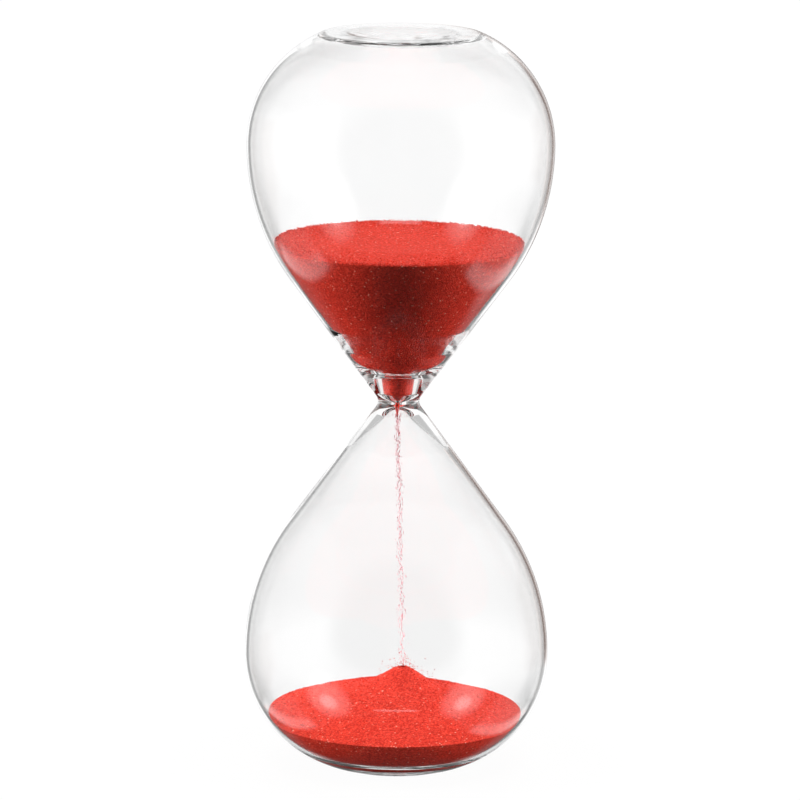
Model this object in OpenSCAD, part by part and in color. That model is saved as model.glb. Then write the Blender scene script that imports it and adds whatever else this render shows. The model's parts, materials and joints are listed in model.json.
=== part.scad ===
// Sand timer: a closed hourglass of blown clear glass with red sand running through it.
// Two bulbs are fused to a thick throat, and each end is closed by a dished seal.
// Z is the axis of the vessel, and the origin is the middle of the face that it stands on.

/* [Vessel] */
// Height of the whole vessel
vessel_h = 150; // [140:1:170]
// Largest diameter of each bulb, at its belt
bulb_d = 61.8; // [54:0.2:66]
// Distance from the middle of the neck to the belt of each bulb
belt_h = 52.3; // [49:0.1:55]
// Radius of the long curve from the cone up to the belt
flank_r = 46.3; // [42:0.1:50]
// Outside diameter of the neck
neck_d = 8.4; // [7:0.1:11]
// Radius of the hollow curve round the neck
neck_fillet_r = 2; // [1.2:0.1:3]
// Thickness of the blown wall
wall = 0.8; // [0.6:0.05:1.2]
// Thickness of the glass across each end
crown_t = 2.2; // [1.6:0.1:3]
// Diameter of the flat on top
top_flat_d = 31.6; // [26:0.2:36]
// Diameter of the flat that it stands on
foot_flat_d = 26.6; // [22:0.2:32]

/* [Seals] */
// Diameter of the hole that the top seal closes
top_hole_d = 21.4; // [14:0.2:24]
// Diameter of the hole that the foot seal closes
foot_hole_d = 16; // [12:0.2:19]
// Depth of the dish in each seal
dish_depth = 1; // [0.4:0.1:1.4]
// Width of the bead that each seal has inside the bulb
bead_w = 1.2; // [0.6:0.1:1.8]
// Thickness of that bead
bead_t = 0.6; // [0.4:0.1:1]
// Seam round the edge of each seal
seam_gap = 0.05; // [0.02:0.01:0.1]

/* [Throat] */
// Distance from the middle of the neck to each seam with a bulb
seam_h = 16; // [15:0.1:19]
// Inside diameter where the glass gathers above the neck
gather_d = 18.3; // [16:0.1:19]
// Height of that gather above the middle of the neck
gather_h = 10; // [8.8:0.1:12]
// Inside diameter at the rounded floor of the bowl
bowl_d = 13; // [10:0.1:14]
// Height of that floor above the middle of the neck
bowl_h = 5.9; // [5.4:0.1:7]
// Inside diameter at the top of the small cup
cup_d = 6.6; // [6:0.1:7.4]
// Height of the top of the cup above the middle of the neck
cup_h = 4.7; // [3.8:0.1:5.2]
// Inside diameter at the bottom of the cup
cup_low_d = 5.8; // [4:0.1:6]
// Height of the bottom of the cup above the middle of the neck
cup_low_h = 2.4; // [1.8:0.1:3]
// Height of the top of the narrow hole above the middle of the neck
hole_top_h = 0.4; // [0.2:0.1:0.9]
// Depth of the foot of that hole below the middle of the neck
hole_foot_h = 2.4; // [1.4:0.1:3]
// Inside diameter of the small dome under the hole
dome_d = 5.8; // [4:0.1:7]
// Depth of the rim of that dome below the middle of the neck
dome_h = 4.2; // [3.6:0.1:5.4]

/* [Sand] */
// Height of the upper sand's level above the middle of the neck
upper_level = 32.6; // [28:0.2:38]
// Height of the lower sand's rim above the foot
lower_rim = 10; // [8:0.2:14]
// Slope of the heap
heap_slope = 16.5; // [12:0.5:22]
// Height of the mound in the middle, above the heap round it
mound_h = 3.8; // [2:0.1:6]
// Diameter of the tip of the mound
mound_tip_d = 3; // [2.4:0.1:5]
// Gap that the grains leave at the glass
grain_gap = 0.1; // [0.05:0.01:0.2]

/* [Running sand] */
// Diameter of the column that sinks in the upper sand, and of the one that rises in the heap
column_d = 12; // [8:0.2:15]
// Height of the sinking column
core_h = 8; // [5:0.2:10]
// Travel of both columns
run_travel = 6; // [3:0.2:6.6]
// Clearance round and under the columns
column_play = 0.3; // [0.2:0.05:0.5]
// Thickness of the settled sand under the rising column
bed_floor = 1; // [0.6:0.1:2]
// Diameter of the falling thread of sand
stream_d = 0.9; // [0.6:0.05:1.2]
// Clearance round the thread in the neck
stream_play = 0.1; // [0.05:0.01:0.1]

/* [Hidden] */
$fn = 128;

glass = [0.86, 0.92, 0.94, 0.35];
red_sand = [0.80, 0.14, 0.10];
running_sand = [0.88, 0.20, 0.15];

half_h = vessel_h / 2;
bulb_r = bulb_d / 2;
neck_r = neck_d / 2;
orifice_r = stream_d / 2 + stream_play;
column_r = column_d / 2;
flank_steps = 10;
shoulder_steps = 18;
neck_steps = 16;

// The cone is the line that touches both the hollow curve of the neck and the flank curve.
flank_x = bulb_r - flank_r;
fillet_x = neck_r + neck_fillet_r;
centres = [flank_x - fillet_x, belt_h];
cone_angle = asin((flank_r + neck_fillet_r) / norm(centres)) + atan2(centres.x, centres.y);

// Radius of the shoulder curve, which leaves the belt upright and ends at the edge of the flat.
function shoulder_r(flat_d) =
    let (rise = half_h - belt_h, run = bulb_r - flat_d / 2)
    (rise * rise + run * run) / (2 * run);

// Point where the cone meets the flank, for a surface that lies inset within the outside.
function cone_top(inset) = [
    flank_x + (flank_r - inset) * cos(cone_angle),
    belt_h - (flank_r - inset) * sin(cone_angle),
];

// Radius of the cone at height h above the neck.
function cone_r(h, inset) = cone_top(inset).x - tan(cone_angle) * (cone_top(inset).y - h);

// Radius of the shoulder at height h above the neck.
function shoulder_at(flat_d, h, inset) =
    let (r = shoulder_r(flat_d))
    bulb_r - r + sqrt(pow(r - inset, 2) - pow(h - belt_h, 2));

// Heap: its rim lies against the glass, and it rises evenly towards the axis.
sand_inset = wall + grain_gap;
rim_r = shoulder_at(foot_flat_d, half_h - lower_rim, sand_inset);
function heap_z(r) = lower_rim + (rim_r - r) * tan(heap_slope);
mound_peak = heap_z(column_r) + mound_h;
sand_floor = crown_t + bead_t + grain_gap;
well_floor = sand_floor + bed_floor;
channel_r = stream_d / 2 + column_play;
pit_depth = 2 * run_travel + column_play;
core_foot = upper_level - core_h;

// Points on an arc about a centre, in equal steps. The first ones can be left out.
function arc(centre, r, from, to, steps, first = 0) = [
    for (i = [first:steps])
        let (turn = from + (to - from) * i / steps)
        centre + r * [cos(turn), sin(turn)],
];

// Flank and shoulder of one bulb, from the cone to the end, with the middle of the neck at the origin.
function belly(flat_d, inset, end_inset) =
    let (shoulder = shoulder_r(flat_d), rise = half_h - end_inset - belt_h)
    concat(
        arc([flank_x, belt_h], flank_r - inset, -cone_angle, 0, flank_steps),
        arc([bulb_r - shoulder, belt_h], shoulder - inset, 0, asin(rise / (shoulder - inset)), shoulder_steps, 1)
    );

// Half section of one bulb, from the seam up.
module bulb_section(flat_d, inset, end_inset) {
    polygon(concat(
        [[0, seam_h], [cone_r(seam_h, inset), seam_h]],
        belly(flat_d, inset, end_inset),
        [[0, half_h - end_inset]]
    ));
}

// Half section of the lower bulb, with the foot at the origin.
module lower_section(inset, end_inset) {
    translate([0, half_h]) mirror([0, 1]) bulb_section(foot_flat_d, inset, end_inset);
}

// Wall of one bulb, with the hole in its end.
module bulb_wall(flat_d, hole_d) {
    rotate_extrude() difference() {
        bulb_section(flat_d, 0, 0);
        bulb_section(flat_d, wall, crown_t);
        translate([0, belt_h]) square([hole_d / 2, half_h]);
    }
}

// Seal of one end, with its bead against the inside of the end and a dish outside.
module end_seal(hole_d) {
    hole_r = hole_d / 2;
    dish_r = (hole_r * hole_r + dish_depth * dish_depth) / (2 * dish_depth);
    rotate_extrude() difference() {
        union() {
            translate([0, half_h - crown_t]) square([hole_r - seam_gap, crown_t]);
            translate([0, half_h - crown_t - bead_t]) square([hole_r + bead_w, bead_t]);
        }
        translate([0, half_h - dish_depth + dish_r]) circle(dish_r);
    }
}

// Half section of the outside of the neck, between the two seams, with the hollow curve in the middle.
module neck_outline() {
    seam_r = cone_r(seam_h, 0);
    hollow = arc([fillet_x, 0], neck_fillet_r, 180 + cone_angle, 180 - cone_angle, neck_steps);
    polygon(concat([[0, -seam_h], [seam_r, -seam_h]], hollow, [[seam_r, seam_h], [0, seam_h]]));
}

// Corners of the funnel above the neck, from the bottom of the cup up to the seam.
function funnel(gap) = [
    [cup_low_d / 2 - gap, cup_low_h + gap],
    [cup_d / 2 - gap, cup_h + gap],
    [bowl_d / 2 - gap, bowl_h + gap],
    [gather_d / 2 - gap, gather_h + gap],
    [cone_r(seam_h, wall + gap), seam_h],
];

// Half section of the way through the neck: the funnel, the narrow hole, the dome and the cone under it.
module passage_section() {
    polygon(concat([
        [0, seam_h],
        [0, -seam_h],
        [cone_r(seam_h, wall), -seam_h],
        [dome_d / 2, -dome_h],
        [orifice_r, -hole_foot_h],
        [orifice_r, hole_top_h],
    ], funnel(0)));
}

// Blown shell of the upper bulb.
module upper_bulb() {
    color(glass) translate([0, 0, half_h]) bulb_wall(top_flat_d, top_hole_d);
}

// Blown shell of the lower bulb, which the timer stands on.
module lower_bulb() {
    color(glass) translate([0, 0, half_h]) mirror([0, 0, 1]) bulb_wall(foot_flat_d, foot_hole_d);
}

// Thick glass of the neck, with the funnel and the orifice.
module throat() {
    color(glass) translate([0, 0, half_h]) rotate_extrude() difference() {
        neck_outline();
        passage_section();
    }
}

// Seal on top, where the vessel was filled and closed.
module top_seal() {
    color(glass) translate([0, 0, half_h]) end_seal(top_hole_d);
}

// Seal in the foot.
module foot_seal() {
    color(glass) translate([0, 0, half_h]) mirror([0, 0, 1]) end_seal(foot_hole_d);
}

// Resting sand in the upper bulb, with a well for the sinking column and a way out below it.
module upper_sand() {
    color(red_sand) translate([0, 0, half_h]) rotate_extrude() difference() {
        intersection() {
            polygon(concat(
                [[0, half_h - crown_t], [0, cup_low_h + grain_gap]],
                funnel(grain_gap),
                belly(top_flat_d, sand_inset, crown_t)
            ));
            square([bulb_r, upper_level]);
        }
        square([channel_r, upper_level]);
        translate([0, core_foot - run_travel - column_play])
            square([column_r + column_play, upper_level]);
    }
}

// Middle of the upper sand, which sinks as the sand runs out.
module sinking_core() {
    color(running_sand) translate([0, 0, half_h + core_foot]) cylinder(r = column_r, h = core_h);
}

// Thread of sand that runs from the sinking column through the neck to the heap.
module sand_stream() {
    thread_foot = mound_peak + column_play;
    color(running_sand) translate([0, 0, thread_foot])
        cylinder(d = stream_d, h = half_h + core_foot - thread_foot);
}

// Settled sand in the lower bulb, with a well for the rising column.
module lower_sand() {
    color(red_sand) rotate_extrude() difference() {
        intersection() {
            lower_section(sand_inset, sand_floor);
            polygon([[0, 0], [bulb_r, 0], [bulb_r, heap_z(bulb_r)], [0, heap_z(0)]]);
        }
        translate([0, well_floor]) square([column_r + column_play, half_h]);
    }
}

// Middle of the heap with the mound on it, which rises as sand arrives. The thread falls into its pit.
module heap_mound() {
    color(running_sand) rotate_extrude() difference() {
        polygon([
            [0, well_floor + column_play],
            [column_r, well_floor + column_play],
            [column_r, heap_z(column_r)],
            [mound_tip_d / 2, mound_peak],
            [0, mound_peak],
        ]);
        translate([0, mound_peak - pit_depth]) square([channel_r, half_h]);
    }
}

upper_bulb();
lower_bulb();
throat();
top_seal();
foot_seal();
upper_sand();
sinking_core();
sand_stream();
lower_sand();
heap_mound();
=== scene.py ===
"""Looks of a sand timer: a blown glass hourglass with red sand that runs from one bulb to the other."""
import json
import math
import random

import bpy
from mathutils import Matrix, Vector, noise

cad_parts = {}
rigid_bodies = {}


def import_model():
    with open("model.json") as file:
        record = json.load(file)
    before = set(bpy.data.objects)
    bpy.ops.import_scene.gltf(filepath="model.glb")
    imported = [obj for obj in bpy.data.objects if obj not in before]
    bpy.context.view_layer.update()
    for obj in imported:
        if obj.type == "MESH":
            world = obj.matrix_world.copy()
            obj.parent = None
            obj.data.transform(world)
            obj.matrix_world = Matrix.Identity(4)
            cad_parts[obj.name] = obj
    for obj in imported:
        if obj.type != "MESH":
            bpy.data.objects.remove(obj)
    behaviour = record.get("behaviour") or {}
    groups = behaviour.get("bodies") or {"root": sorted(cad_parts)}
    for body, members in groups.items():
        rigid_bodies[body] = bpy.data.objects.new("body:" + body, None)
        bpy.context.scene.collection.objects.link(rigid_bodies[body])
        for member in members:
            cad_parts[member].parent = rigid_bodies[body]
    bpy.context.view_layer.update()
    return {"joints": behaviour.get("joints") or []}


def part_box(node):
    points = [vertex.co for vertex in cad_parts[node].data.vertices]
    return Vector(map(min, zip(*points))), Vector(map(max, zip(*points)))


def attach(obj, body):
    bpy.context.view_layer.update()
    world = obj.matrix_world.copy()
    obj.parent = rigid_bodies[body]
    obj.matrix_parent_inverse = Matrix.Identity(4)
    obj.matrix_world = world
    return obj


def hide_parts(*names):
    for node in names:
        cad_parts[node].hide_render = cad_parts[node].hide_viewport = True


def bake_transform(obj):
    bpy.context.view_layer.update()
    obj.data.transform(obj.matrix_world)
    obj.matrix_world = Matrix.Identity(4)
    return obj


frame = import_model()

# One millimetre. Sizes are in millimetres unless a comment says otherwise.
MM = 0.001


def millimetres(node):
    """Lowest and highest corner of a solid of the frame, in millimetres."""
    low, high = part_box(node)
    return low / MM, high / MM


# Sizes of the vessel and the sand that the frame gives
FOOT_Z = millimetres("foot_seal")[0].z
TOP_Z = millimetres("top_seal")[1].z
NECK_Z = (FOOT_Z + TOP_Z) / 2
HALF_H = (TOP_Z - FOOT_Z) / 2
BULB_R = millimetres("upper_bulb")[1].x
STREAM_R = millimetres("sand_stream")[1].x
UPPER_LEVEL_Z = millimetres("upper_sand")[1].z
LOWER_BED_Z = millimetres("lower_sand")[0].z
PEAK_Z = millimetres("heap_mound")[1].z
TRAVEL = frame["joints"][0]["range_m"][1] / MM

# Outside of the vessel. The belt's height is measured from the middle of the neck
BELT_H = 52.3
FLANK_R = 46.3
NECK_R = 4.2
NECK_FILLET_R = 2.0
TOP_FLAT_R = 15.8
FOOT_FLAT_R = 13.3
TOP_DISH_R = 10.7
FOOT_DISH_R = 8.0
DISH_DEPTH = 1.0
EDGE_ROUND = 3.0

# Share of a dish's curve that its rounded edge leaves, and angle of a shoulder's curve that the edge takes
DISH_SHARE = 0.93
EDGE_TURN = math.radians(6)

# Marks of the torch in the dishes: end, way in, reach, depth, waves for each millimetre both ways, and seed
TORCH_MARKS = [
    (TOP_Z, -1, TOP_DISH_R + 1.5, 0.5, (0.22, 0.3), 3.1),
    (FOOT_Z, 1, FOOT_DISH_R + 1.5, 0.4, (0.3, 0.3), 7.7),
]
TORCH_FADE = 3.0
TORCH_DEPTH = DISH_DEPTH + 0.3

# Inside of the vessel: its walls, the glass of its ends, and how far its axis lies from the outside's
BELT_WALL = 0.75
CONE_WALL = 0.8
TOP_CROWN = 1.0
TOP_INNER_ROUND = 2.4
FOOT_CROWN = 2.2
FOOT_INNER_ROUND = 6.0
OFF_CENTRE = -0.1

# Pad of glass below the dish in the top, and bead of glass above the dish in the foot
PAD = 1.4
PAD_R = 0.75 * TOP_DISH_R
PAD_EDGE_R = TOP_DISH_R + 1.0
PAD_ROUND = 12.0
BEAD = 0.6
BEAD_R = 0.8 * FOOT_DISH_R

# The way through the neck: radius, height above the middle of the neck, and rounding of each corner
ORIFICE_R = 0.55
FUNNEL = [
    (10.3, 11.2, 4.0),
    (8.9, 8.7, 7.0),
    (7.2, 7.05, 0.6),
    (3.4, 6.95, 0.3),
    (2.9, 2.6, 0.9),
    (ORIFICE_R, 0.4, 0.4),
]
DROP = [(ORIFICE_R, -1.2, 0.3), (3.3, -3.2, 2.0)]

# Where the thick glass of the neck goes over into the upper and the lower cone
GATHER_H = 16.0
LOWER_CONE_H = 9.5
CONE_ROUND = 8.0

# Grains: width in the pattern of the sand, number of loose ones, and their least and greatest radius
GRAIN = 0.24
CRUST_GRAINS = 2600
RIM_GRAINS = 900
HEAP_GRAINS = 3800
BOUNCING_GRAINS = 170
LOOSE_SIZE = (0.07, 0.15)
RIM_SIZE = (0.08, 0.16)
BOUNCING_SIZE = (0.06, 0.13)
FALLING_SIZE = (0.05, 0.09)

# Share of its radius by which a loose grain's middle lies above the sand
GRAIN_RISE = 0.4

# Grains that lie against the glass: how far in from the rim, and how far above the level
RIM_BAND = (0.2, 0.6)
RIM_RISE = (-0.1, 0.25)

# Sand in the upper bulb: a thin crust with a crater, on a rim of sand at rest round a hidden hollow
SAND_GAP = 0.12
CRUST = 0.06
CRUST_INSET = 0.35
CRUST_RELIEF = 0.1
CRUST_FADE = 4.0
CRUST_SWELL = (0.5, 1.7)
CRATER_R = 12.0
CRATER_DEPTH = 0.8
RIM_DEPTH = 0.6
RIM_WIDTH = 1.0
RIM_SLOPE = 0.2
RIM_ROUND = 0.3
HOLLOW_R = CRATER_R + 1.5
HOLLOW_Z = UPPER_LEVEL_Z - TRAVEL - 3.0
CHANNEL_R = STREAM_R + 0.3
CHANNEL_FOOT_Z = NECK_Z + 1
CHANNEL_FULL_Z = NECK_Z + 3

# Heap in the lower bulb: a low dome with a rounded mound, which is pushed sideways within its reach
HEAP_RIM_Z = 10.0
HEAP_CURVE = 1.35
HEAP_RELIEF = 0.15
HEAP_FADE = 3.0
HEAP_SWELL = (0.4, 4.2)
MOUND_H = 3.0
MOUND_R = 5.0
MOUND_SHIFT = 1.5
MOUND_REACH = 16.0
MOUND_X = OFF_CENTRE + MOUND_SHIFT
PIT_Z = PEAK_Z - 2 * TRAVEL - 1

# Grains that spring off the heap: how far out they lie, and how high they go
BOUNCE_SPREAD = 3.2
BOUNCE_REACH = 8.0
BOUNCE_START = 0.15
BOUNCE_H = 3.6
BOUNCE_TOP_Z = PEAK_Z + 3.2

# Thread of sand: its tapered end as radius and depth below the middle of the neck, how far it wavers
# and in how many waves for each millimetre
THREAD_R = 0.4
THREAD_X = -0.2
THREAD_END = [(0.08, 3.0), (0.25, 2.2), (THREAD_R, 1.2)]
THREAD_TOP_Z = NECK_Z + TRAVEL + 3
FALL_START_Z = NECK_Z - 1.4
WAVER = 0.28
WAVES = 0.22

# Falling grains: how far they stray from the thread, and more further down, their length and their steps
FALL_SPREAD = 0.3
FALL_WIDENING = 0.1
FALL_LENGTH = (1.5, 5.0)
FALL_STEP = (0.02, 0.1)

# Fineness of the meshes: steps round the axis and along each curve, and degrees for a step of a rounding
TURN_STEPS = 192
SHOULDER_STEPS = 40
FLANK_STEPS = 28
NECK_STEPS = 24
DISH_STEPS = 12
CONE_STEPS = 6
BED_STEPS = 16
CRUST_RINGS = 60
HEAP_RINGS = 80
ARC_STEP = 9
MERGE_GAP = 0.001
SMOOTH_ANGLE = math.radians(40)

# The line of the cone touches the hollow curve of the neck and the flank curve
FLANK_X = BULB_R - FLANK_R
FILLET_X = NECK_R + NECK_FILLET_R
CENTRES = (FLANK_X - FILLET_X, BELT_H)
CONE = math.asin((FLANK_R + NECK_FILLET_R) / math.hypot(*CENTRES)) + math.atan2(*CENTRES)

# The inner flank curve is thicker at the cone than at the belt
INNER_SHIFT = (CONE_WALL - BELT_WALL) / (1 - math.cos(CONE))
INNER_FLANK_R = FLANK_R - BELT_WALL - INNER_SHIFT
INNER_FLANK_X = FLANK_X + INNER_SHIFT


def shoulder_radius(flat_r):
    """Radius of the curve from the belt to the edge of a flat end."""
    rise = HALF_H - BELT_H
    run = BULB_R - flat_r
    return (rise * rise + run * run) / (2 * run)


def shoulder(flat_r, wall=0.0, crown=0.0):
    """Centre, radius and angle of the curve from the belt to an end, for the outside or a skin within it."""
    curve_r = shoulder_radius(flat_r) - wall
    lean = math.asin((HALF_H - crown - BELT_H) / curve_r)
    return BULB_R - wall - curve_r, curve_r, lean


def inner_cone_radius(height, inset=0.0):
    """Inside radius of the cone at a height above the neck, for a surface that lies inset within it."""
    top_r = INNER_FLANK_X + (INNER_FLANK_R - inset) * math.cos(CONE)
    top_h = BELT_H - (INNER_FLANK_R - inset) * math.sin(CONE)
    return top_r - math.tan(CONE) * (top_h - height)


def inner_radius(height, inset=0.0):
    """Inside radius of a bulb between its cone and its belt."""
    radius = INNER_FLANK_R - inset
    below_belt = BELT_H - height
    if below_belt > radius * math.sin(CONE):
        return inner_cone_radius(height, inset)
    return INNER_FLANK_X + math.sqrt(radius * radius - below_belt * below_belt)


def bed_radius(height):
    """Radius of the sand in the lower bulb where it lies against the glass, at a height above the foot."""
    curve_r = shoulder_radius(FOOT_FLAT_R)
    below_belt = HALF_H - BELT_H - height
    return BULB_R - curve_r + math.sqrt((curve_r - BELT_WALL - SAND_GAP) ** 2 - below_belt ** 2)


UPPER_RIM_R = inner_radius(UPPER_LEVEL_Z - NECK_Z, SAND_GAP)
HEAP_RIM_R = bed_radius(HEAP_RIM_Z)


# Drawing


def deselect_all():
    bpy.ops.object.select_all(action="DESELECT")


class Section:
    """A half section, drawn in the XZ plane stretch by stretch and then turned round the Z axis."""

    def __init__(self, name, radius, height):
        deselect_all()
        bpy.ops.mesh.primitive_plane_add(size=MM)
        self.piece = bpy.context.object
        self.piece.name = name
        self.piece.data.name = name
        bpy.ops.object.mode_set(mode="EDIT")
        bpy.ops.mesh.select_all(action="SELECT")
        bpy.ops.mesh.merge(type="CENTER")
        self.pen = Vector((radius, 0, height))
        bpy.ops.transform.translate(value=self.pen * MM)

    def line(self, radius, height):
        """Draws a straight stretch to a point."""
        target = Vector((radius, 0, height))
        step = (target - self.pen) * MM
        bpy.ops.mesh.extrude_vertices_move(TRANSFORM_OT_translate={"value": step})
        self.pen = target

    def lines(self, points):
        """Draws straight stretches through several points."""
        for radius, height in points:
            self.line(radius, height)

    def arc(self, centre_r, centre_h, angle, steps):
        """Draws an arc about a centre, counter-clockwise for a positive angle in radians."""
        centre = Vector((centre_r, 0, centre_h))
        bpy.ops.mesh.spin(steps=steps, angle=angle, center=centre * MM, axis=(0, 1, 0))
        self.pen = centre + Matrix.Rotation(-angle, 3, "Y") @ (self.pen - centre)

    def rounded(self, corners):
        """Draws stretches through corners, each a radius, a height and the radius of its rounding."""
        for number, (radius, height, rounding) in enumerate(corners):
            corner = Vector((radius, 0, height))
            if not rounding or number == len(corners) - 1:
                self.line(radius, height)
                continue
            after = Vector((corners[number + 1][0], 0, corners[number + 1][1])) - corner
            before = self.pen - corner
            half_angle = before.angle(after) / 2
            reach = min(rounding / math.tan(half_angle), 0.45 * before.length, 0.45 * after.length)
            middle = (before.normalized() + after.normalized()).normalized()
            centre = corner + middle * reach / math.cos(half_angle)
            tangent = corner + before.normalized() * reach
            self.line(tangent.x, tangent.z)
            sweep = math.pi - 2 * half_angle
            bends_left = before.cross(after).y > 0
            steps = max(2, round(math.degrees(sweep) / ARC_STEP))
            self.arc(centre.x, centre.z, sweep if bends_left else -sweep, steps)

    def cone(self, end_r, end_z):
        """Draws the long straight stretch of a cone in a few steps."""
        start = self.pen.copy()
        for step in range(1, CONE_STEPS + 1):
            share = step / CONE_STEPS
            self.line(start.x + (end_r - start.x) * share, start.z + (end_z - start.z) * share)

    def turn(self, shift=0.0, inside_out=False):
        """Turns the section into a round piece, shifts it sideways and returns it."""
        bpy.ops.object.mode_set(mode="OBJECT")
        screw = self.piece.modifiers.new("turn", "SCREW")
        screw.axis = "Z"
        screw.angle = 2 * math.pi
        screw.steps = TURN_STEPS
        screw.render_steps = TURN_STEPS
        screw.use_merge_vertices = True
        screw.merge_threshold = MERGE_GAP * MM
        bpy.ops.object.modifier_apply(modifier=screw.name)
        bpy.ops.object.mode_set(mode="EDIT")
        bpy.ops.mesh.select_all(action="SELECT")
        bpy.ops.mesh.remove_doubles(threshold=2 * MERGE_GAP * MM)
        bpy.ops.mesh.normals_make_consistent(inside=inside_out)
        bpy.ops.transform.translate(value=(shift * MM, 0, 0))
        bpy.ops.object.mode_set(mode="OBJECT")
        bpy.ops.object.shade_smooth_by_angle(angle=SMOOTH_ANGLE)
        return self.piece


def join(first, *others):
    """Joins pieces into the first one."""
    deselect_all()
    for piece in (*others, first):
        piece.select_set(True)
    bpy.context.view_layer.objects.active = first
    bpy.ops.object.join()
    return first


def around(centre_x, radius, angle):
    """Point of a circle, as seen from above."""
    return centre_x + radius * math.cos(angle), radius * math.sin(angle)


def any_angle():
    return random.uniform(0, 2 * math.pi)


def scatter(name, places, material):
    """Many small grains as one piece. Each place is a point, a radius and how much longer the grain is."""
    deselect_all()
    bpy.ops.mesh.primitive_ico_sphere_add(subdivisions=1, radius=MM)
    grain = bpy.context.object
    corners = [vertex.co.copy() for vertex in grain.data.vertices]
    sides = [tuple(polygon.vertices) for polygon in grain.data.polygons]
    bpy.data.objects.remove(grain)
    points = []
    faces = []
    for place, size, length in places:
        turn = Matrix.Rotation(any_angle(), 3, "Z")
        if length == 1:
            turn = turn @ Matrix.Rotation(random.uniform(0, math.pi), 3, "X")
        shape = Matrix.Diagonal((size, size * random.uniform(0.7, 1.0), size * length))
        first = len(points)
        points.extend(turn @ (shape @ corner) + Vector(place) * MM for corner in corners)
        faces.extend(tuple(first + corner for corner in side) for side in sides)
    mesh = bpy.data.meshes.new(name)
    mesh.from_pydata(points, [], faces)
    mesh.materials.append(material)
    grains = bpy.data.objects.new(name, mesh)
    bpy.context.scene.collection.objects.link(grains)
    return grains


# Nodes


def add_node(tree, kind, inputs=None, **settings):
    """A node with the given settings and input values."""
    node = tree.nodes.new(kind)
    for name, value in settings.items():
        setattr(node, name, value)
    for name, value in (inputs or {}).items():
        node.inputs[name].default_value = value
    return node


def ease(tree, value, start, end, low, high, way="SMOOTHSTEP"):
    """A value that goes from low to high while the given one goes from start to end, smoothly by default."""
    limits = {"From Min": start, "From Max": end, "To Min": low, "To Max": high}
    node = add_node(tree, "ShaderNodeMapRange", limits, interpolation_type=way)
    tree.links.new(value, node.inputs["Value"])
    return node.outputs["Result"]


def calculate(tree, operation, *values):
    """What an operation makes of one value, of two, or of several in turn."""
    node = add_node(tree, "ShaderNodeMath", operation=operation)
    for value, socket in zip(values, node.inputs[:2]):
        tree.links.new(value, socket)
    if len(values) > 2:
        return calculate(tree, operation, node.outputs["Value"], *values[2:])
    return node.outputs["Value"]


def band(tree, value, start, full, fade, end):
    """A share that is 1 while a value lies between full and fade, and 0 before start and after end."""
    return calculate(
        tree, "MULTIPLY", ease(tree, value, start, full, 0.0, 1.0), ease(tree, value, fade, end, 1.0, 0.0)
    )


def colour_ramp(tree, factor, shades):
    """A colour that follows a factor through the given shades, each a position and a colour."""
    node = add_node(tree, "ShaderNodeValToRGB")
    elements = node.color_ramp.elements
    for number in (0, -1):
        position, colour = shades[number]
        elements[number].position = position
        elements[number].color = (*colour, 1)
    for position, colour in shades[1:-1]:
        elements.new(position).color = (*colour, 1)
    tree.links.new(factor, node.inputs["Fac"])
    return node.outputs["Color"]


def new_material(name):
    """An empty material with its node tree and output."""
    material = bpy.data.materials.new(name)
    material.use_nodes = True
    tree = material.node_tree
    tree.nodes.clear()
    return material, tree, add_node(tree, "ShaderNodeOutputMaterial")


def new_group(name, inputs, outputs):
    """An empty node group with the named number sockets, and its two end nodes."""
    group = bpy.data.node_groups.new(name, "ShaderNodeTree")
    for way, sockets in (("INPUT", inputs), ("OUTPUT", outputs)):
        for socket in sockets:
            group.interface.new_socket(socket, in_out=way, socket_type="NodeSocketFloat")
    return group, add_node(group, "NodeGroupInput"), add_node(group, "NodeGroupOutput")


# Materials

# Colour of clear glass, and the painted shade of its outer and inner skin where it is seen edge on. Partly
# this is the longer path through the glass there; mostly it is a painted stand-in for dark edge lines
CLEAR = (0.985, 0.985, 0.985)
OUTER_EDGE_SHADE = (0.8, 0.81, 0.82)
INNER_EDGE_SHADE = (0.4, 0.4, 0.41)

# Waves of the glass for each metre, and their height in metres
RIPPLES = 60.0
RIPPLE_H = 0.0004

# Shades of the grains, each from a share of them on. The two palest are painted glints, pale specks that
# stand in for sparkle
RED_SHADES_AND_GLINTS = [
    (0.0, (0.47, 0.025, 0.014)),
    (0.5, (0.74, 0.045, 0.026)),
    (0.96, (0.88, 0.07, 0.044)),
    (0.985, (0.9, 0.12, 0.08)),
    (1.0, (1.0, 0.4, 0.3)),
]
# Painted light: the falling grains are the same red sand, with paler shades that stand in for the light they
# catch from all sides as they fall
LIT_FALLING_SHADES = [
    (0.0, (0.82, 0.28, 0.33)),
    (0.6, (0.95, 0.5, 0.55)),
    (1.0, (1.0, 0.72, 0.76)),
]


def glass_ripple():
    """The slight waves of blown glass, as a height for a bump."""
    group, start, end = new_group("glass_ripple", ["Scale"], ["Height"])
    link = group.links.new
    place = add_node(group, "ShaderNodeTexCoord")
    stretch = add_node(group, "ShaderNodeMapping", {"Scale": (1.0, 1.0, 0.45)})
    waves = add_node(group, "ShaderNodeTexNoise", {"Detail": 1.0})
    link(place.outputs["Object"], stretch.inputs["Vector"])
    link(stretch.outputs["Vector"], waves.inputs["Vector"])
    link(start.outputs["Scale"], waves.inputs["Scale"])
    link(waves.outputs["Fac"], end.inputs["Height"])
    return group


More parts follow.
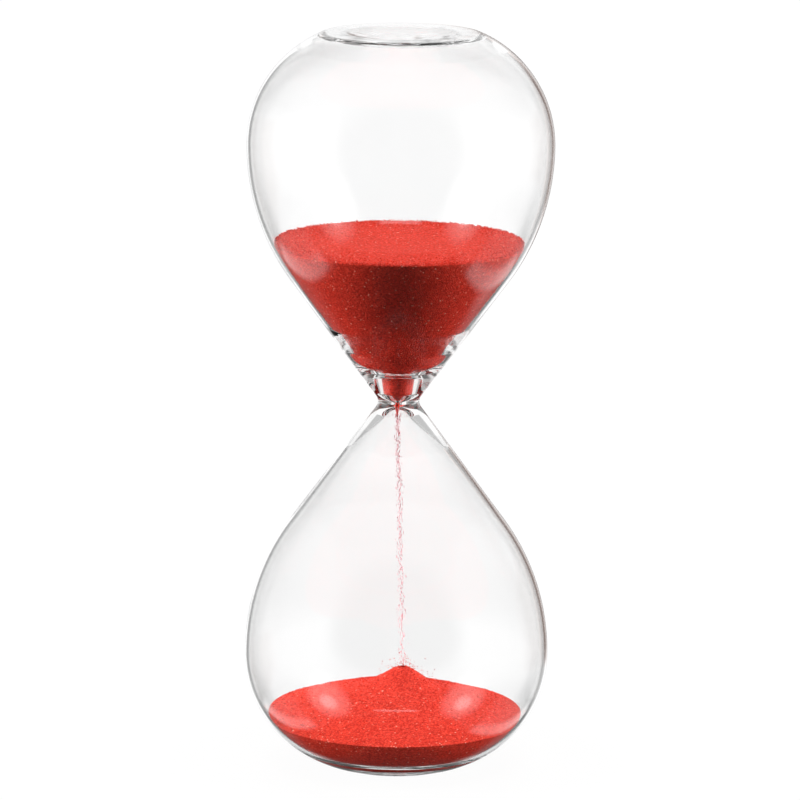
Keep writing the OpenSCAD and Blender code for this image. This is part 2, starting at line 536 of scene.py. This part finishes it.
def blown_glass(name, ripple, painted_edge_shade, edge_start):
    """Clear glass with painted shade at its edges: its colour darkens where a ray from the air meets it edge
    on, from edge_start on.
    """
    material, tree, output = new_material(name)
    link = tree.links.new
    glass = add_node(
        tree, "ShaderNodeBsdfPrincipled", {"Roughness": 0.0, "Transmission Weight": 1.0, "IOR": 1.5}
    )
    facing = add_node(tree, "ShaderNodeLayerWeight", {"Blend": 0.5})
    side = add_node(tree, "ShaderNodeNewGeometry")
    # Painted shade: the colour darkens as the glass turns edge on to a ray from the air
    edge = calculate(tree, "SUBTRACT", facing.outputs["Facing"], side.outputs["Backfacing"])
    edge_shade_colour = colour_ramp(tree, edge, [(edge_start, CLEAR), (1.0, painted_edge_shade)])
    link(edge_shade_colour, glass.inputs["Base Color"])
    waves = add_node(tree, "ShaderNodeGroup", {"Scale": RIPPLES}, node_tree=ripple)
    bump = add_node(tree, "ShaderNodeBump", {"Strength": 0.06, "Distance": RIPPLE_H})
    link(waves.outputs["Height"], bump.inputs["Height"])
    link(bump.outputs["Normal"], glass.inputs["Normal"])

    # The sand's light and the lamps go straight through
    clear = add_node(tree, "ShaderNodeBsdfTransparent")
    path = add_node(tree, "ShaderNodeLightPath")
    seen = glass.outputs["BSDF"]
    for kind in ("Is Diffuse Ray", "Is Shadow Ray"):
        mix = add_node(tree, "ShaderNodeMixShader")
        link(path.outputs[kind], mix.inputs["Fac"])
        link(seen, mix.inputs[1])
        link(clear.outputs["BSDF"], mix.inputs[2])
        seen = mix.outputs["Shader"]
    link(seen, output.inputs["Surface"])
    return material


def grain_pattern():
    """Fine grains packed side by side: a random share for shade and shine, and the height of each."""
    group, start, end = new_group("grain_pattern", ["Scale"], ["Shade", "Shine", "Height"])
    link = group.links.new
    place = add_node(group, "ShaderNodeTexCoord")
    grains = add_node(group, "ShaderNodeTexVoronoi")
    split = add_node(group, "ShaderNodeSeparateColor")
    round_top = add_node(group, "ShaderNodeMath", operation="SUBTRACT")
    round_top.inputs[0].default_value = 1.0
    link(place.outputs["Object"], grains.inputs["Vector"])
    link(start.outputs["Scale"], grains.inputs["Scale"])
    link(grains.outputs["Color"], split.inputs["Color"])
    link(grains.outputs["Distance"], round_top.inputs[1])
    link(split.outputs["Red"], end.inputs["Shade"])
    link(split.outputs["Green"], end.inputs["Shine"])
    link(round_top.outputs["Value"], end.inputs["Height"])
    return group


def dyed_sand(name, pattern, shades, relief):
    """Dyed sand: each grain has its own shade out of the given ones, and a few are glossier. The shades can
    carry painted light, such as pale glints and the paler copy for falling grains.
    """
    material, tree, output = new_material(name)
    link = tree.links.new
    grains = add_node(tree, "ShaderNodeGroup", {"Scale": 1 / (GRAIN * MM)}, node_tree=pattern)
    sand = add_node(tree, "ShaderNodeBsdfPrincipled", {"Specular IOR Level": 0.12})
    link(colour_ramp(tree, grains.outputs["Shade"], shades), sand.inputs["Base Color"])
    roughness = ease(tree, grains.outputs["Shine"], 0.85, 1.0, 0.8, 0.45, "LINEAR")
    link(roughness, sand.inputs["Roughness"])
    bump = add_node(tree, "ShaderNodeBump", {"Strength": relief, "Distance": GRAIN * MM})
    link(grains.outputs["Height"], bump.inputs["Height"])
    link(bump.outputs["Normal"], sand.inputs["Normal"])
    link(sand.outputs["BSDF"], output.inputs["Surface"])
    return material


# Vessel


def dish_curve(dish_r):
    """Radius of the curve across the dish in an end, and its sweep from the middle to the rounded edge."""
    curve_r = (dish_r * dish_r + DISH_DEPTH * DISH_DEPTH) / (2 * DISH_DEPTH)
    return curve_r, DISH_SHARE * math.asin(dish_r / curve_r)


def vessel_outside():
    """Outer skin of the vessel, from the middle of the top to the middle of the foot."""
    dish_r, dish_sweep = dish_curve(TOP_DISH_R)
    section = Section("vessel", 0, TOP_Z - DISH_DEPTH)
    section.arc(0, TOP_Z - DISH_DEPTH + dish_r, dish_sweep, DISH_STEPS)
    centre_r, curve_r, lean = shoulder(TOP_FLAT_R)
    sweep = lean - EDGE_TURN
    belt_z = NECK_Z + BELT_H
    section.rounded([
        (TOP_DISH_R, TOP_Z, EDGE_ROUND),
        (TOP_FLAT_R, TOP_Z, EDGE_ROUND),
        (centre_r + curve_r * math.cos(sweep), belt_z + curve_r * math.sin(sweep), 0),
    ])
    section.arc(centre_r, belt_z, -sweep, SHOULDER_STEPS)
    section.arc(FLANK_X, belt_z, -CONE, FLANK_STEPS)
    fillet_start_r = FILLET_X - NECK_FILLET_R * math.cos(CONE)
    section.cone(fillet_start_r, NECK_Z + NECK_FILLET_R * math.sin(CONE))
    section.arc(FILLET_X, NECK_Z, 2 * CONE, NECK_STEPS)
    belt_z = NECK_Z - BELT_H
    section.cone(FLANK_X + FLANK_R * math.cos(CONE), belt_z + FLANK_R * math.sin(CONE))
    section.arc(FLANK_X, belt_z, -CONE, FLANK_STEPS)
    centre_r, curve_r, lean = shoulder(FOOT_FLAT_R)
    section.arc(centre_r, belt_z, EDGE_TURN - lean, SHOULDER_STEPS)
    dish_r, dish_sweep = dish_curve(FOOT_DISH_R)
    dish_z = FOOT_Z + DISH_DEPTH - dish_r
    section.rounded([
        (FOOT_FLAT_R, FOOT_Z, EDGE_ROUND),
        (FOOT_DISH_R, FOOT_Z, EDGE_ROUND),
        (dish_r * math.sin(dish_sweep), dish_z + dish_r * math.cos(dish_sweep), 0),
    ])
    section.arc(0, dish_z, dish_sweep, DISH_STEPS)
    return section.turn()


def funnel(inset=0.0):
    """Corners of the funnel from the upper cone down to the hole, as radius, height and rounding."""
    start = (inner_cone_radius(GATHER_H, inset), NECK_Z + GATHER_H, CONE_ROUND)
    return [start] + [
        (radius - inset, NECK_Z + height + inset, rounding) for radius, height, rounding in FUNNEL
    ]


def passage():
    """Corners of the whole way through the neck, from the upper cone to the lower one."""
    drop = [(radius, NECK_Z + height, rounding) for radius, height, rounding in DROP]
    cone_end_r = INNER_FLANK_X + INNER_FLANK_R * math.cos(CONE)
    cone_end_z = NECK_Z - BELT_H + INNER_FLANK_R * math.sin(CONE)
    return funnel() + drop + [
        (inner_cone_radius(LOWER_CONE_H), NECK_Z - LOWER_CONE_H, CONE_ROUND),
        (cone_end_r, cone_end_z, 0),
    ]


def vessel_inside():
    """Inner skin of the vessel: both chambers and the hole between them."""
    pad_z = TOP_Z - DISH_DEPTH - PAD
    crown_z = TOP_Z - TOP_CROWN
    section = Section("vessel_inside", 0, pad_z)
    centre_r, curve_r, lean = shoulder(TOP_FLAT_R, BELT_WALL, TOP_CROWN)
    sweep = lean - 2 * EDGE_TURN
    belt_z = NECK_Z + BELT_H
    section.rounded([
        (PAD_R, pad_z, PAD_ROUND),
        (PAD_EDGE_R, crown_z, EDGE_ROUND),
        (centre_r + curve_r * math.cos(lean), crown_z, TOP_INNER_ROUND),
        (centre_r + curve_r * math.cos(sweep), belt_z + curve_r * math.sin(sweep), 0),
    ])
    section.arc(centre_r, belt_z, -sweep, SHOULDER_STEPS)
    section.arc(INNER_FLANK_X, belt_z, -CONE, FLANK_STEPS)
    section.rounded(passage())
    belt_z = NECK_Z - BELT_H
    section.arc(INNER_FLANK_X, belt_z, -CONE, FLANK_STEPS)
    centre_r, curve_r, lean = shoulder(FOOT_FLAT_R, BELT_WALL, FOOT_CROWN)
    section.arc(centre_r, belt_z, 2 * EDGE_TURN - lean, SHOULDER_STEPS)
    bead_z = FOOT_Z + FOOT_CROWN + BEAD
    section.rounded([
        (centre_r + curve_r * math.cos(lean), FOOT_Z + FOOT_CROWN, FOOT_INNER_ROUND),
        (BEAD_R, bead_z, PAD_ROUND),
        (0, bead_z, 0),
    ])
    return section.turn(OFF_CENTRE, inside_out=True)


def roughen_ends(vessel):
    """Makes the dishes in the ends a little uneven, as a torch leaves them."""
    for vertex in vessel.data.vertices:
        place = vertex.co / MM
        radius = math.hypot(place.x, place.y)
        for end_z, inward, reach, depth, (across, along), seed in TORCH_MARKS:
            if inward * (place.z - end_z) < TORCH_DEPTH and radius < reach:
                share = min(1.0, (reach - radius) / TORCH_FADE)
                wave = 0.5 + 0.5 * noise.noise(Vector((place.x * across, place.y * along, seed)))
                vertex.co.z += inward * depth * share * wave * MM


def make_vessel():
    """The glass of the timer: its outer and its inner skin as one piece."""
    outside = vessel_outside()
    roughen_ends(outside)
    inside = vessel_inside()
    ripple = glass_ripple()
    outside.data.materials.append(blown_glass("glass_outside", ripple, OUTER_EDGE_SHADE, 0.75))
    inside.data.materials.append(blown_glass("glass_inside", ripple, INNER_EDGE_SHADE, 0.86))
    vessel = join(outside, inside)
    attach(vessel, "glass")
    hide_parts("upper_bulb", "lower_bulb", "throat", "top_seal", "foot_seal")


# Sand


def swell(x, y, scale, seed):
    """A gentle swell between -1 and 1 at a point of the sand."""
    broad = noise.noise(Vector((x * scale, y * scale, seed)))
    fine = noise.noise(Vector((x * scale * 3.1, y * scale * 3.1, seed + 5)))
    return 0.7 * broad + 0.3 * fine


def crater_share(radius):
    """How deep the crust lies at a radius, so that its motion, a smooth step, leaves an even crater."""
    follows = max(0.0, 1 - radius / CRATER_R)
    return 0.5 - math.sin(math.asin(1 - 2 * follows) / 3)


def crust_relief(x, y):
    """How far the crust swells at a point, which sets in outside the crater."""
    outside = max(0.0, math.hypot(x - OFF_CENTRE, y) - CRATER_R)
    return CRUST_RELIEF * min(1.0, outside / CRUST_FADE) * swell(x, y, *CRUST_SWELL)


def make_upper_bulk(material):
    """The sand at rest in the upper bulb, with a rim at the glass and a hollow for the sinking crust."""
    level = UPPER_LEVEL_Z - NECK_Z
    shelf = level - RIM_DEPTH
    rim_z = UPPER_LEVEL_Z - CRUST / 2
    shelf_z = UPPER_LEVEL_Z - RIM_DEPTH
    section = Section("upper_sand_bulk", CHANNEL_R, HOLLOW_Z)
    section.lines([(HOLLOW_R, shelf_z), (UPPER_RIM_R - RIM_WIDTH - RIM_SLOPE, shelf_z)])
    section.rounded([
        (UPPER_RIM_R - RIM_WIDTH, rim_z, 0),
        (UPPER_RIM_R, rim_z, RIM_ROUND),
        (inner_radius(shelf, SAND_GAP), shelf_z, 0),
    ])
    heights = [shelf - (shelf - GATHER_H) * step / BED_STEPS for step in range(1, BED_STEPS)]
    section.lines([(inner_radius(height, SAND_GAP), NECK_Z + height) for height in heights])
    section.rounded(funnel(SAND_GAP))
    section.lines([
        (ORIFICE_R - SAND_GAP, CHANNEL_FOOT_Z),
        (CHANNEL_R, CHANNEL_FULL_Z),
        (CHANNEL_R, HOLLOW_Z),
    ])
    bulk = section.turn(OFF_CENTRE)
    bulk.data.materials.append(material)
    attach(bulk, "glass")
    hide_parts("upper_sand")


def make_upper_top(material):
    """The crust on the upper sand with its loose grains. Its middle sinks into the hollow as a crater."""
    radii = [(UPPER_RIM_R - CRUST_INSET) * ring / CRUST_RINGS for ring in range(CRUST_RINGS + 1)]
    surface = [(radius, UPPER_LEVEL_Z - CRATER_DEPTH * crater_share(radius)) for radius in radii]
    section = Section("upper_sand_top", *surface[0])
    section.lines(surface[1:])
    section.lines([(radius, height - CRUST) for radius, height in reversed(surface)])
    top = section.turn(OFF_CENTRE)
    for vertex in top.data.vertices:
        place = vertex.co / MM
        if place.z > UPPER_LEVEL_Z - CRUST / 2:
            vertex.co.z += crust_relief(place.x, place.y) * MM
    top.data.materials.append(material)

    places = []
    while len(places) < CRUST_GRAINS:
        radius = UPPER_RIM_R * math.sqrt(random.uniform(0.25, 1))
        angle = any_angle()
        size = random.uniform(*LOOSE_SIZE)
        likely = max(0.0, (radius - CRATER_R) / (UPPER_RIM_R - CRATER_R)) ** 1.5
        if radius < UPPER_RIM_R - 0.1 and random.random() < likely:
            x, y = around(OFF_CENTRE, radius, angle)
            z = UPPER_LEVEL_Z + crust_relief(x, y) + GRAIN_RISE * size
            places.append(((x, y, z), size, 1))
    for _ in range(RIM_GRAINS):
        radius = UPPER_RIM_R - random.uniform(*RIM_BAND)
        angle = any_angle()
        z = UPPER_LEVEL_Z + random.uniform(*RIM_RISE)
        places.append(((*around(OFF_CENTRE, radius, angle), z), random.uniform(*RIM_SIZE), 1))
    top = join(top, scatter("upper_grains", places, material))
    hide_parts("sinking_core")
    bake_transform(top)


def heap_height(radius):
    """Height of the heap at a radius: a low dome with a rounded mound in the middle."""
    dome = (PEAK_Z - MOUND_H - HEAP_RIM_Z) * (1 - (radius / HEAP_RIM_R) ** HEAP_CURVE)
    return HEAP_RIM_Z + dome + MOUND_H * math.exp(-((radius / MOUND_R) ** 2))


def heap_relief(x, y):
    """How far the heap swells at a point, which fades at its rim and at the pit."""
    radius = math.hypot(x, y)
    inside = min(HEAP_RIM_R - radius, max(0.0, radius - CHANNEL_R))
    return HEAP_RELIEF * min(1.0, inside / HEAP_FADE) * swell(x, y, *HEAP_SWELL)


def heap_shift(radius):
    """How far the heap is pushed sideways at a radius, since the thread doesn't fall on the middle."""
    return OFF_CENTRE + MOUND_SHIFT * max(0.0, 1 - (radius / MOUND_REACH) ** 2) ** 2


def make_heap(material):
    """The heap in the lower bulb, with a pit that the thread of sand falls into."""
    section = Section("heap", 0, PIT_Z)
    section.line(CHANNEL_R, PIT_Z)
    for ring in range(HEAP_RINGS + 1):
        radius = CHANNEL_R + (HEAP_RIM_R - CHANNEL_R) * ring / HEAP_RINGS
        section.line(radius, heap_height(radius))
    for step in range(1, BED_STEPS + 1):
        height = HEAP_RIM_Z + (LOWER_BED_Z - HEAP_RIM_Z) * step / BED_STEPS
        section.line(bed_radius(height), height)
    section.line(0, LOWER_BED_Z)
    heap = section.turn()
    for vertex in heap.data.vertices:
        place = vertex.co / MM
        vertex.co.x += heap_shift(math.hypot(place.x, place.y)) * MM
        if place.z > HEAP_RIM_Z + 0.01:
            vertex.co.z += heap_relief(place.x, place.y) * MM
    heap.data.materials.append(material)

    places = []
    for _ in range(HEAP_GRAINS):
        radius = (HEAP_RIM_R - 0.3) * math.sqrt(random.uniform(0.003, 1))
        angle = any_angle()
        size = random.uniform(*LOOSE_SIZE)
        x, y = around(0, radius, angle)
        z = heap_height(radius) + heap_relief(x, y) + GRAIN_RISE * size
        if radius > CHANNEL_R + 0.2:
            places.append(((x + heap_shift(radius), y, z), size, 1))
    heap = join(heap, scatter("heap_grains", places, material))
    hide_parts("lower_sand", "heap_mound")
    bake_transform(heap)


def make_bouncing_grains(material):
    """Grains that spring off the top of the heap where the thread lands."""
    places = []
    for _ in range(BOUNCING_GRAINS):
        radius = min(BOUNCE_REACH, abs(random.gauss(0, BOUNCE_SPREAD)))
        angle = any_angle()
        height = heap_height(radius) + BOUNCE_START + min(BOUNCE_H, random.expovariate(1.1))
        size = random.uniform(*BOUNCING_SIZE)
        if height + size < BOUNCE_TOP_Z and radius > 0.7:
            places.append(((*around(MOUND_X, radius, angle), height), size, 1))
    grains = scatter("bouncing_grains", places, material)
    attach(grains, "heap")


def share_fallen(height):
    """How far down a height lies between the neck and the top of the heap, from 0 to 1."""
    return (NECK_Z - height) / (NECK_Z - PEAK_Z)


def thread_middle(height):
    """Sideways place of the thread of sand at a height: it drifts and wavers as it falls."""
    fallen = share_fallen(height)
    waver = WAVER * min(1.0, 4 * fallen)
    drift = THREAD_X + (MOUND_X - THREAD_X) * fallen
    x = drift + waver * noise.noise(Vector((height * WAVES, 0.3, 1.1)))
    y = waver * noise.noise(Vector((height * WAVES, 9.2, 4.4)))
    return x, y


def make_stream(material, lit_falling_material):
    """The thread of sand: a full column through the hole in the neck, then loose streaks of grains."""
    section = Section("sand_thread", 0, NECK_Z - THREAD_END[0][1])
    section.lines([(radius, NECK_Z - depth) for radius, depth in THREAD_END])
    section.lines([(THREAD_R, NECK_Z - 0.2), (THREAD_R, THREAD_TOP_Z), (0, THREAD_TOP_Z)])
    thread = section.turn(THREAD_X)
    thread.data.materials.append(material)

    places = []
    height = FALL_START_Z
    while height > PEAK_Z + 0.1:
        fallen = share_fallen(height)
        x, y = thread_middle(height)
        spread = FALL_SPREAD + FALL_WIDENING * fallen
        size = random.uniform(*FALLING_SIZE)
        place = (x + random.gauss(0, spread), y + random.gauss(0, spread), height)
        places.append((place, size, random.uniform(*FALL_LENGTH)))
        height -= random.uniform(*FALL_STEP) * (1 + fallen)
    thread = join(thread, scatter("falling_grains", places, lit_falling_material))
    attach(thread, "running_sand")
    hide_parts("sand_stream")


def make_sand():
    """All the sand of the timer, at rest and running."""
    pattern = grain_pattern()
    sand = dyed_sand("red_sand", pattern, RED_SHADES_AND_GLINTS, 0.4)
    # The falling grains get a paler copy of the sand's shades, which is painted light
    lit_falling_sand = dyed_sand("lit_falling_sand", pattern, LIT_FALLING_SHADES, 0.3)
    make_upper_bulk(sand)
    make_upper_top(sand)
    make_heap(sand)
    make_bouncing_grains(sand)
    make_stream(sand, lit_falling_sand)


# Stage, with places and sizes in metres

FLOOR_SIZE = 6
FLOOR_GAP = 0.0002
LAMP_TARGET = (0, 0, 0.07)
CAMERA_PLACE = Vector((0, -1.0, 0.2825))
CAMERA_AIM = Vector((0.0003, 0, 0.0752))
CAMERA_ROLL = math.radians(0.55)

# Soft boxes that the glass mirrors on the heap, alike on both sides: direction, half angle and power
MIRRORED_BOXES = [
    ((0.74, -0.51, -0.45), 0.34, 2.4),
    ((0.72, -0.49, -0.49), 0.16, 4.0),
]

# Colours of the studio: its white, and the warm tone at the right of the glass
WHITE = (1, 1, 1)
WARM = (1.0, 0.82, 0.76)


def make_floor():
    """A wide white floor that only the camera sees. It keeps a faint shadow near the timer."""
    deselect_all()
    bpy.ops.mesh.primitive_plane_add(size=FLOOR_SIZE)
    floor = bpy.context.object
    floor.name = "floor"
    floor.location.z = FOOT_Z * MM - FLOOR_GAP
    floor.visible_glossy = False
    floor.visible_transmission = False
    floor.visible_diffuse = False
    material, tree, output = new_material("floor_white")
    link = tree.links.new
    paper = add_node(tree, "ShaderNodeBsdfDiffuse", {"Color": (0.5, 0.5, 0.5, 1)})
    glow = add_node(tree, "ShaderNodeEmission", {"Strength": 1.02})
    place = add_node(tree, "ShaderNodeTexCoord")
    reach = add_node(tree, "ShaderNodeVectorMath", operation="LENGTH")
    link(place.outputs["Object"], reach.inputs[0])
    share = ease(tree, reach.outputs["Value"], 0.02, 0.12, 0.95, 1.0)
    path = add_node(tree, "ShaderNodeLightPath")
    mix = add_node(tree, "ShaderNodeMixShader")
    link(calculate(tree, "MULTIPLY", path.outputs["Is Camera Ray"], share), mix.inputs["Fac"])
    link(paper.outputs["BSDF"], mix.inputs[1])
    link(glow.outputs["Emission"], mix.inputs[2])
    link(mix.outputs["Shader"], output.inputs["Surface"])
    floor.data.materials.append(material)


def light_through_glass(tree, x, y, z, level, path):
    """What shows through the glass: a white strip with dark ones beside it, light walls and a dark foot."""
    sideways = calculate(tree, "ABSOLUTE", x)
    not_low = ease(tree, z, -0.45, -0.15, 0.3, 1.0)
    bright = calculate(
        tree, "MAXIMUM",
        ease(tree, sideways, 0.22, 0.3, 1.0, 0.0),
        calculate(tree, "MULTIPLY", ease(tree, sideways, 0.5, 0.75, 0.0, 0.85), not_low),
        ease(tree, z, 0.05, 0.3, 0.0, 0.45),
        calculate(tree, "MULTIPLY", ease(tree, y, 0.2, 0.5, 0.85, 0.0), not_low),
    )
    warm = calculate(tree, "MULTIPLY", ease(tree, x, 0.16, 0.24, 0.0, 1.0), level)
    white = calculate(tree, "MULTIPLY", bright, ease(tree, warm, 0.0, 1.0, 1.0, 0.52))
    beneath = calculate(
        tree, "MULTIPLY", ease(tree, z, -0.8, -0.6, 1.0, 0.0), ease(tree, sideways, 0.55, 0.65, 1.0, 0.0)
    )
    seen_level = calculate(
        tree, "MULTIPLY",
        ease(tree, white, 0.0, 1.0, 0.18, 1.13),
        ease(tree, z, -0.235, -0.19, 0.94, 1.0),
        ease(tree, beneath, 0.0, 1.0, 1.0, 0.05),
        ease(tree, y, -0.75, -0.45, 0.12, 1.0),
    )

    # From behind and from above, the glass looks clear as well
    not_mirrored = ease(tree, path.outputs["Glossy Depth"], 0.0, 1.0, 1.0, 0.0)
    elsewhere = calculate(
        tree, "MAXIMUM", ease(tree, y, -0.45, -0.3, 1.0, 0.0), ease(tree, z, -0.85, -0.75, 1.0, 0.0)
    )
    seen_elsewhere = calculate(tree, "MULTIPLY", elsewhere, not_mirrored)
    return calculate(tree, "MAXIMUM", seen_level, seen_elsewhere), warm


def light_boxes(tree, x, y, z):
    """Soft boxes that the glass mirrors: a narrow bar low in front, two on the heap, and low side walls."""
    sideways = calculate(tree, "ABSOLUTE", x)
    bar = calculate(
        tree, "MULTIPLY",
        band(tree, z, -0.61, -0.592, -0.582, -0.565),
        ease(tree, sideways, 0.18, 0.3, 3.0, 0.0),
        ease(tree, y, -0.7, -0.6, 1.0, 0.0),
    )
    folded = add_node(tree, "ShaderNodeCombineXYZ")
    for value, socket in zip((sideways, y, z), folded.inputs):
        tree.links.new(value, socket)
    boxes = [bar]
    for direction, spread, power in MIRRORED_BOXES:
        nearness = add_node(tree, "ShaderNodeVectorMath", operation="DOT_PRODUCT")
        nearness.inputs[1].default_value = direction
        tree.links.new(folded.outputs["Vector"], nearness.inputs[0])
        boxes.append(ease(tree, nearness.outputs["Value"], math.cos(spread), 1.0, 0.0, power))
    low_side = calculate(
        tree, "ADD",
        sideways,
        ease(tree, z, -1.0, 0.0, -0.5, 0.0, "LINEAR"),
        ease(tree, x, -0.1, 0.1, -0.06, 0.0),
    )
    low_walls = calculate(
        tree, "MULTIPLY",
        ease(tree, low_side, 0.16, 0.23, 0.0, 1.0),
        ease(tree, low_side, 0.28, 0.38, 1.4, 0.35),
        ease(tree, y, -0.08, 0.06, 0.0, 1.0),
        ease(tree, z, -0.48, -0.42, 1.0, 0.0),
    )
    return calculate(tree, "ADD", *boxes, low_walls)


def light_on_glass(tree, x, y, z, level, path):
    """What the glass mirrors: a backdrop with a gap and a warm edge, dim walls and soft boxes."""
    sideways = calculate(tree, "ABSOLUTE", x)
    gap = band(tree, x, -0.5, -0.44, -0.32, -0.26)
    reach = calculate(tree, "ADD", y, ease(tree, x, 0.0, 0.4, 0.0, 0.12))
    warm_edge = calculate(tree, "MULTIPLY", band(tree, x, 0.0, 0.03, 0.38, 0.46), level)
    behind = calculate(
        tree, "MULTIPLY",
        ease(tree, reach, 0.6, 0.85, 0.03, 1.2),
        ease(tree, gap, 0.0, 1.0, 1.0, 0.6),
        ease(tree, sideways, 0.12, 0.28, 0.75, 1.0),
        ease(tree, z, -0.47, -0.37, 0.15, 1.0),
        ease(tree, warm_edge, 0.0, 1.0, 1.0, 0.3),
    )
    beside = calculate(
        tree, "MULTIPLY", ease(tree, sideways, 0.5, 0.9, 0.0, 0.35), ease(tree, z, -0.4, -0.1, 0.0, 1.0)
    )
    mirrored_once = ease(tree, path.outputs["Ray Depth"], 2.0, 3.0, 1.0, 0.0)
    boxes = calculate(tree, "MULTIPLY", light_boxes(tree, x, y, z), mirrored_once)
    return calculate(tree, "ADD", behind, beside, boxes), warm_edge


def toned_backdrop(tree, strength, warm):
    """A white background with a strength of its own for each direction, toned where it is warm."""
    background = add_node(tree, "ShaderNodeBackground")
    tree.links.new(strength, background.inputs["Strength"])
    tone = colour_ramp(tree, warm, [(0.0, WHITE), (1.0, WARM)])
    tree.links.new(tone, background.inputs["Color"])
    return background


def plain_backdrop(tree, strength):
    """A white background of one strength all round."""
    return add_node(tree, "ShaderNodeBackground", {"Color": (*WHITE, 1), "Strength": strength})


def make_world():
    """A studio with a backdrop each for the view through the glass, its mirroring, the sand and the eye."""
    world = bpy.data.worlds.new("studio")
    bpy.context.scene.world = world
    world.use_nodes = True
    tree = world.node_tree
    tree.nodes.clear()
    link = tree.links.new
    output = add_node(tree, "ShaderNodeOutputWorld")
    path = add_node(tree, "ShaderNodeLightPath")

    # Direction of a ray: x to the right, y away from the camera and z up
    place = add_node(tree, "ShaderNodeTexCoord")
    split = add_node(tree, "ShaderNodeSeparateXYZ")
    link(place.outputs["Generated"], split.inputs["Vector"])
    x, y, z = split.outputs
    level = calculate(
        tree, "MULTIPLY", band(tree, z, -0.28, -0.22, 0.05, 0.2), ease(tree, y, 0.3, 0.6, 0.0, 1.0)
    )
    for_glass = toned_backdrop(tree, *light_through_glass(tree, x, y, z, level, path))
    for_gloss = toned_backdrop(tree, *light_on_glass(tree, x, y, z, level, path))
    kinds = (
        ("Is Transmission Ray", for_glass),
        ("Is Diffuse Ray", plain_backdrop(tree, 0.04)),
        ("Is Camera Ray", plain_backdrop(tree, 1.0)),
    )
    seen = for_gloss.outputs["Background"]
    for kind, background in kinds:
        mix = add_node(tree, "ShaderNodeMixShader")
        link(path.outputs[kind], mix.inputs["Fac"])
        link(seen, mix.inputs[1])
        link(background.outputs["Background"], mix.inputs[2])
        seen = mix.outputs["Shader"]
    link(seen, output.inputs["Surface"])


def add_lamp(name, lamp, place, target):
    """Points a lamp at a target. It lights the sand and doesn't show in the glass."""
    holder = bpy.data.objects.new(name, lamp)
    bpy.context.scene.collection.objects.link(holder)
    holder.location = place
    holder.rotation_euler = (Vector(target) - Vector(place)).to_track_quat("-Z", "Y").to_euler()
    holder.visible_camera = False
    holder.visible_glossy = False
    holder.visible_transmission = False


def add_softbox(name, place, width, height, power):
    """A wide lamp that points at the middle of the timer."""
    lamp = bpy.data.lights.new(name, "AREA")
    lamp.shape = "RECTANGLE"
    lamp.size = width
    lamp.size_y = height
    lamp.energy = power
    add_lamp(name, lamp, place, LAMP_TARGET)


def add_glow(name, place, target, spread, power):
    """A soft spot, for the light that the bulb gathers on the heap."""
    lamp = bpy.data.lights.new(name, "SPOT")
    lamp.spot_size = math.radians(spread)
    lamp.spot_blend = 1.0
    lamp.shadow_soft_size = 0.002
    lamp.energy = power
    add_lamp(name, lamp, place, target)


def make_lamps():
    """Four softboxes round the timer and three glows on the heap."""
    add_softbox("left_softbox", (-0.6, -0.03, 0.14), 0.25, 0.4, 6.2)
    add_softbox("right_softbox", (0.6, -0.03, 0.14), 0.25, 0.4, 5.4)
    add_softbox("back_softbox", (0, 0.5, 0.6), 0.5, 0.4, 2.85)
    add_softbox("front_softbox", (0, -0.3, 0.7), 0.5, 0.2, 2.65)
    add_glow("low_glow", (0, -0.4, 0.014), (0, -0.02, 0.006), 16, 1.9)
    add_glow("left_glow", (-0.22, 0.1, 0.12), (-0.0146, 0.0065, 0.0125), 4.5, 1.6)
    add_glow("right_glow", (0.22, 0.12, 0.12), (0.0115, 0.010, 0.0125), 4.5, 1.0)


def make_camera():
    """Camera at the photograph's angle, with its slight roll."""
    data = bpy.data.cameras.new("camera")
    data.sensor_width = 36
    data.lens = 227.2
    camera = bpy.data.objects.new("camera", data)
    bpy.context.scene.collection.objects.link(camera)
    camera.location = CAMERA_PLACE
    turn = (CAMERA_AIM - CAMERA_PLACE).to_track_quat("-Z", "Y").to_matrix()
    camera.rotation_euler = (turn @ Matrix.Rotation(CAMERA_ROLL, 3, "Z")).to_euler()
    bpy.context.scene.camera = camera


random.seed(41)
make_camera()
make_world()
make_floor()
make_lamps()
make_vessel()
make_sand()

# The glass mirrors nothing but itself and the studio, since mirrored sand would tint it red
for piece in bpy.data.objects:
    if piece.type == "MESH" and piece.name != "vessel":
        piece.visible_glossy = False

scene = bpy.context.scene
scene.view_settings.view_transform = "Standard"
scene.cycles.max_bounces = 48
scene.cycles.transmission_bounces = 32
scene.cycles.glossy_bounces = 32
scene.cycles.transparent_max_bounces = 32

bpy.context.view_layer.update()
